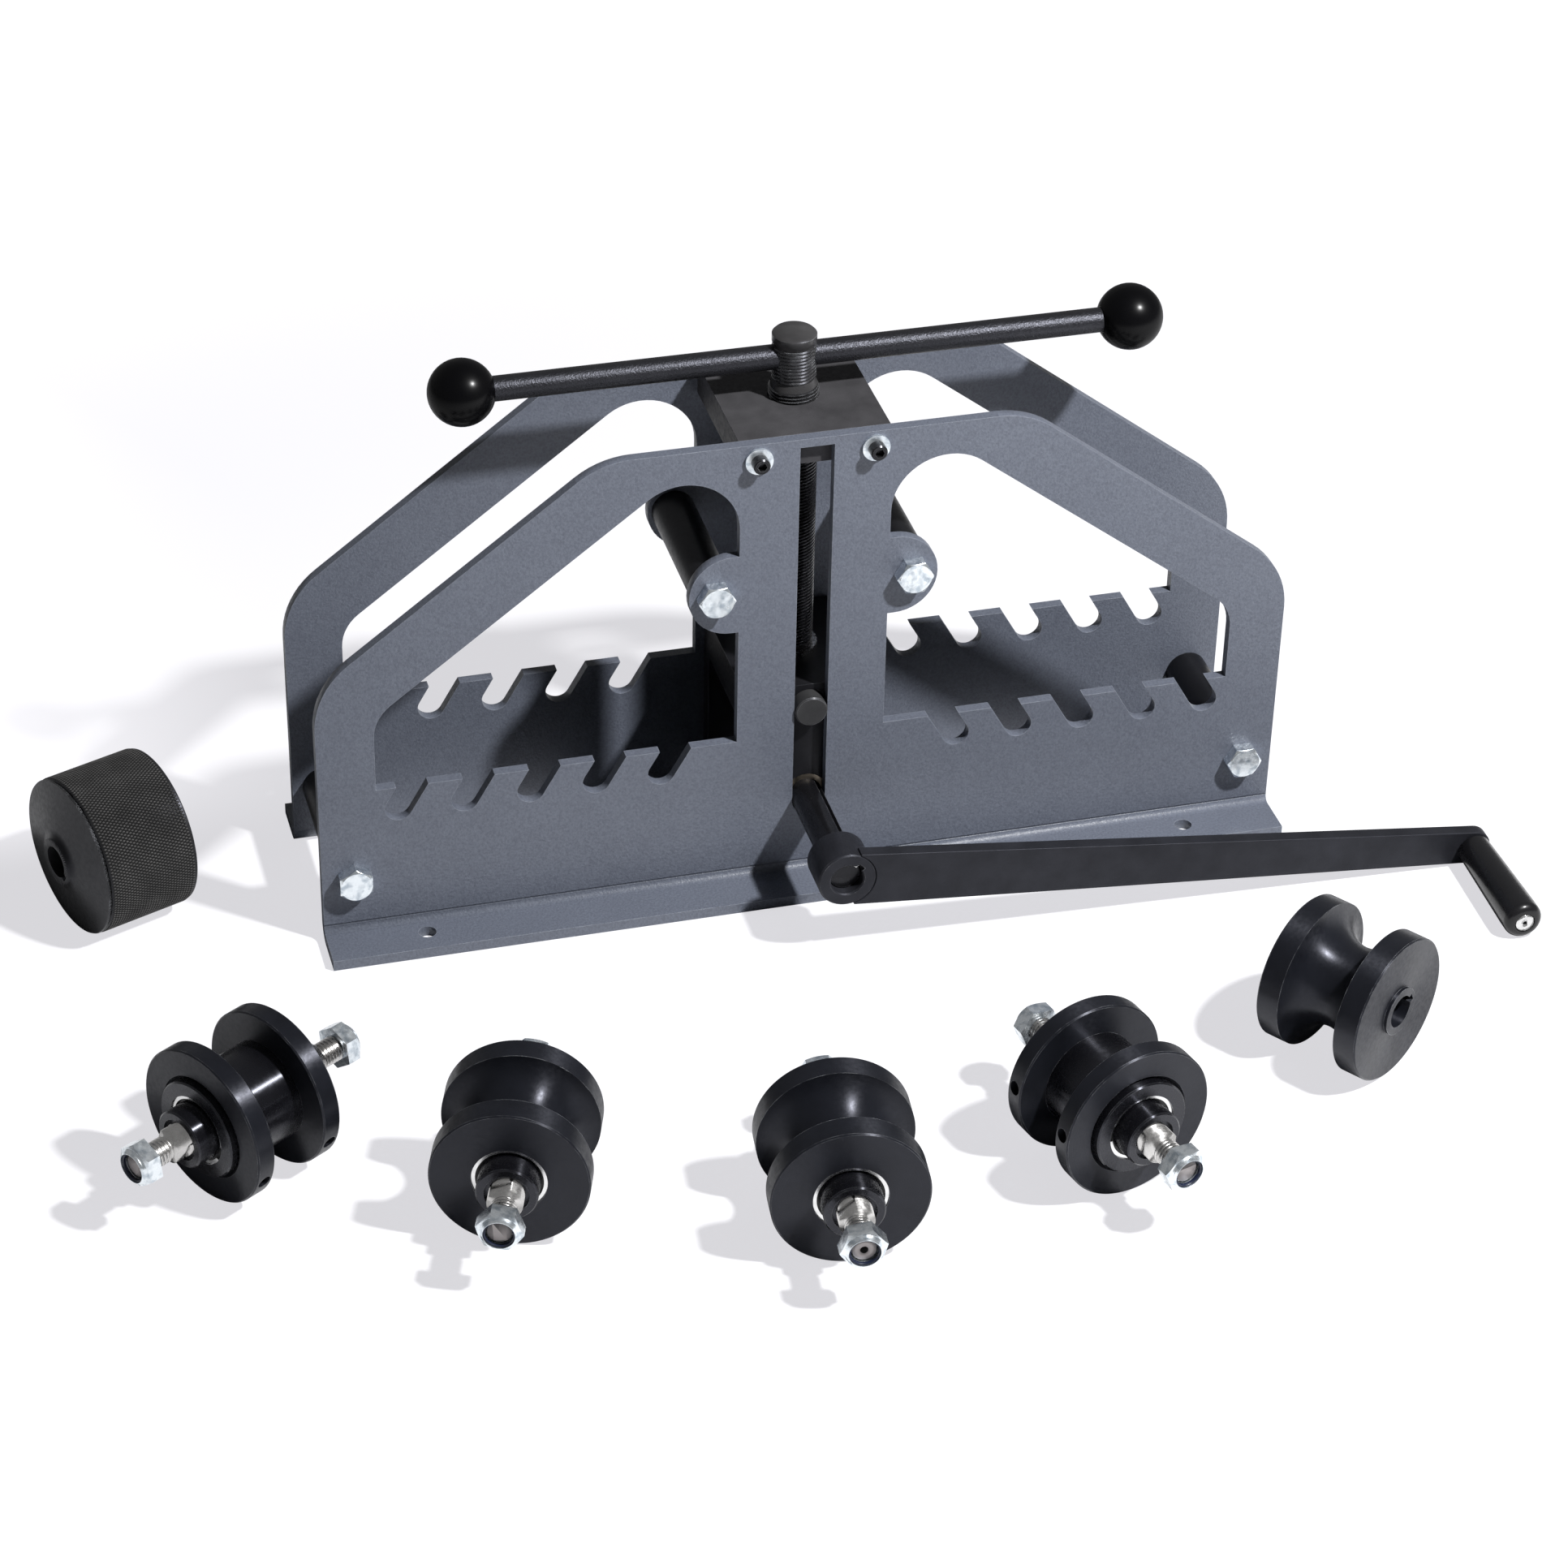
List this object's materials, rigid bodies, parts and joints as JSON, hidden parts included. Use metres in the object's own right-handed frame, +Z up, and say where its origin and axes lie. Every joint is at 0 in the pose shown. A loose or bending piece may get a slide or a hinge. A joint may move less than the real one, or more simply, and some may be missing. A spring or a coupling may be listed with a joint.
{
  "type": "ring roller",
  "caption": "Hand-cranked bench ring roller with notched side plates, a screw-fed sliding yoke, a keyed drive shaft and crank, and loose grooved, flat and knurled rolls beside it.",
  "frame": {"origin": "centre of the four bench holes, on the bench face under the foot flanges", "axes": "+Z up from the bench, +X along the side plates, -Y towards the crank"},
  "size_m": [0.8351, 0.5189, 0.3367],
  "materials": {
    "plate_paint": "fine textured powder coat",
    "block_black": "black oxide, satin",
    "satin_black": "black oxide, satin",
    "gloss_black": "gloss black",
    "roll_black": "black oxide, turned",
    "zinc": "bright zinc plate",
    "ring_steel": "bright spring steel",
    "bearing_steel": "ground",
    "bronze": "machined bronze",
    "ball_plastic": "gloss",
    "grip_plastic": "gloss",
    "bright_steel": "bright"
  },
  "bodies": {
    "frame": {"front_side_plate": "plate_paint", "rear_side_plate": "plate_paint", "screw_nut_block": "block_black", "plate_spacers": "satin_black", "spacer_bolts": "zinc", "spacer_nuts": "zinc", "block_cap_screws": "satin_black", "block_washers": "zinc"},
    "yoke": {"slide_yoke": "satin_black", "guide_studs": "satin_black", "shaft_bushes": "bronze", "thrust_washer": "bearing_steel"},
    "screw": {"feed_screw": "satin_black", "screw_retaining_ring": "ring_steel", "tommy_bar": "satin_black", "bar_balls": "ball_plastic"},
    "drive": {"drive_shaft": "satin_black", "shaft_retaining_rings": "ring_steel", "crank_hub": "satin_black", "crank_key": "bright_steel", "hub_set_screw": "satin_black", "crank_arm": "satin_black", "grip_spindle": "bright_steel"},
    "handle": {"crank_grip": "grip_plastic"},
    "loose_knurled_roll": {"knurled_drive_roll": "roll_black"},
    "loose_grooved_roll": {"grooved_drive_roll": "roll_black"},
    "left_flat_idler_axle": {"left_flat_idler_axle": "bright_steel", "left_flat_idler_bearing_inner_rings": "bearing_steel", "left_flat_idler_axle_collars": "satin_black", "left_flat_idler_lock_nuts": "zinc"},
    "left_flat_idler_roller": {"left_flat_idler_sleeve": "gloss_black", "left_flat_idler_discs": "roll_black", "left_flat_idler_disc_set_screws": "satin_black", "left_flat_idler_bearing_outer_rings": "bearing_steel", "left_flat_idler_snap_rings": "ring_steel"},
    "left_grooved_idler_axle": {"left_grooved_idler_axle": "bright_steel", "left_grooved_idler_bearing_inner_rings": "bearing_steel", "left_grooved_idler_axle_collars": "satin_black", "left_grooved_idler_lock_nuts": "zinc"},
    "left_grooved_idler_roller": {"left_grooved_idler_roll": "gloss_black", "left_grooved_idler_bearing_outer_rings": "bearing_steel", "left_grooved_idler_snap_rings": "ring_steel"},
    "right_grooved_idler_axle": {"right_grooved_idler_axle": "bright_steel", "right_grooved_idler_bearing_inner_rings": "bearing_steel", "right_grooved_idler_axle_collars": "satin_black", "right_grooved_idler_lock_nuts": "zinc"},
    "right_grooved_idler_roller": {"right_grooved_idler_roll": "gloss_black", "right_grooved_idler_bearing_outer_rings": "bearing_steel", "right_grooved_idler_snap_rings": "ring_steel"},
    "right_flat_idler_axle": {"right_flat_idler_axle": "bright_steel", "right_flat_idler_bearing_inner_rings": "bearing_steel", "right_flat_idler_axle_collars": "satin_black", "right_flat_idler_lock_nuts": "zinc"},
    "right_flat_idler_roller": {"right_flat_idler_sleeve": "gloss_black", "right_flat_idler_discs": "roll_black", "right_flat_idler_disc_set_screws": "satin_black", "right_flat_idler_bearing_outer_rings": "bearing_steel", "right_flat_idler_snap_rings": "ring_steel"}
  },
  "joints": [
    {"name": "screw_turn", "type": "hinge", "parent": "yoke", "child": "screw", "pos_m": [0, 0, 0.3], "axis": [0, 0, 1], "range_deg": [0, 24300]},
    {"name": "yoke_slide", "type": "slide", "parent": "frame", "child": "yoke", "axis": [0, 0, 1], "range_m": [0, 0.143]},
    {"name": "crank_turn", "type": "hinge", "parent": "yoke", "child": "drive", "pos_m": [0, 0, 0.053], "axis": [0, 1, 0], "continuous": true},
    {"name": "grip_spin", "type": "hinge", "parent": "drive", "child": "handle", "pos_m": [0.3848, -0.17, 0.01181], "axis": [0, 1, 0], "continuous": true},
    {"name": "knurled_roll_lift", "type": "slide", "parent": "frame", "child": "loose_knurled_roll", "axis": [0, 0, 1], "range_m": [0, 0.12]},
    {"name": "grooved_roll_lift", "type": "slide", "parent": "frame", "child": "loose_grooved_roll", "axis": [0, 0, 1], "range_m": [0, 0.12]},
    {"name": "left_flat_idler_lift", "type": "slide", "parent": "frame", "child": "left_flat_idler_axle", "axis": [0, 0, 1], "range_m": [0, 0.12]},
    {"name": "left_flat_idler_spin", "type": "hinge", "parent": "left_flat_idler_axle", "child": "left_flat_idler_roller", "pos_m": [-0.362, -0.2432, 0.0449], "axis": [-0.8462, -0.5329, 0], "continuous": true},
    {"name": "left_grooved_idler_lift", "type": "slide", "parent": "frame", "child": "left_grooved_idler_axle", "axis": [0, 0, 1], "range_m": [0, 0.12]},
    {"name": "left_grooved_idler_spin", "type": "hinge", "parent": "left_grooved_idler_axle", "child": "left_grooved_idler_roller", "pos_m": [-0.228, -0.3066, 0.0425], "axis": [-0.3289, -0.9444, 0], "continuous": true},
    {"name": "right_grooved_idler_lift", "type": "slide", "parent": "frame", "child": "right_grooved_idler_axle", "axis": [0, 0, 1], "range_m": [0, 0.12]},
    {"name": "right_grooved_idler_spin", "type": "hinge", "parent": "right_grooved_idler_axle", "child": "right_grooved_idler_roller", "pos_m": [-0.0669, -0.3609, 0.0425], "axis": [-0.1149, -0.9934, 0], "continuous": true},
    {"name": "right_flat_idler_lift", "type": "slide", "parent": "frame", "child": "right_flat_idler_axle", "axis": [0, 0, 1], "range_m": [0, 0.12]},
    {"name": "right_flat_idler_spin", "type": "hinge", "parent": "right_flat_idler_axle", "child": "right_flat_idler_roller", "pos_m": [0.0846, -0.3454, 0.0449], "axis": [0.2639, -0.9646, 0], "continuous": true}
  ],
  "couplings": [
    {"joint": "yoke_slide", "follows": "screw_turn", "m_per_rad": 0.00033688}
  ]
}
